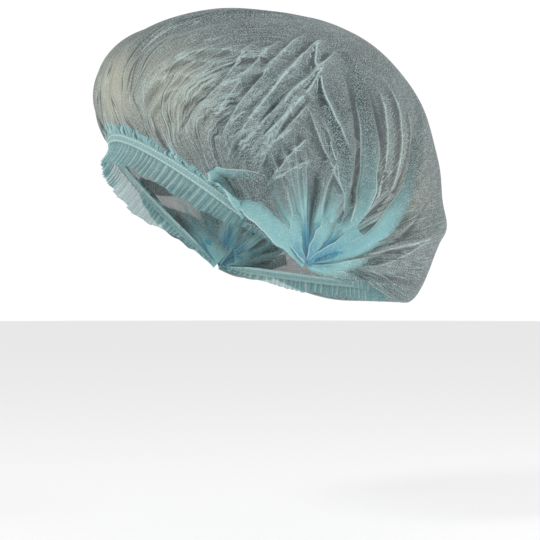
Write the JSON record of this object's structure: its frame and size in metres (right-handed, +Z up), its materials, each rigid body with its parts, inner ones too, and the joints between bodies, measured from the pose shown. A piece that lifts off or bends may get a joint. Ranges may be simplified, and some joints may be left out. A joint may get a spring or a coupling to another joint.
{
  "type": "disposable hairnet",
  "caption": "Disposable bouffant hair cover of thin pleated nonwoven cloth, bunched over each ear, with a stitched elastic round the rim and a narrow frill below it.",
  "frame": {"origin": "on the midplane inside the head opening, about half way between the elastic on the forehead and the elastic at the nape", "axes": "+Z up when worn by an upright head, -Y the way that the wearer faces, +X the wearer's left"},
  "size_m": [0.193, 0.2458, 0.2055],
  "materials": {
    "cloth": "thin spunbonded nonwoven, translucent, fibrous and matt",
    "frill": "single and double layers of the same nonwoven, tightly gathered",
    "elastic": "flat elastic under the cloth, held by bright rows of stitches",
    "gathered_cloth": "many layers of the nonwoven drawn together, deeper blue and nearly opaque"
  },
  "bodies": {
    "root": {"crown": "cloth", "front_elastic": "elastic", "back_elastic": "elastic", "front_frill": "frill", "back_frill": "frill", "left_gather": "gathered_cloth", "right_gather": "gathered_cloth"}
  },
  "joints": []
}
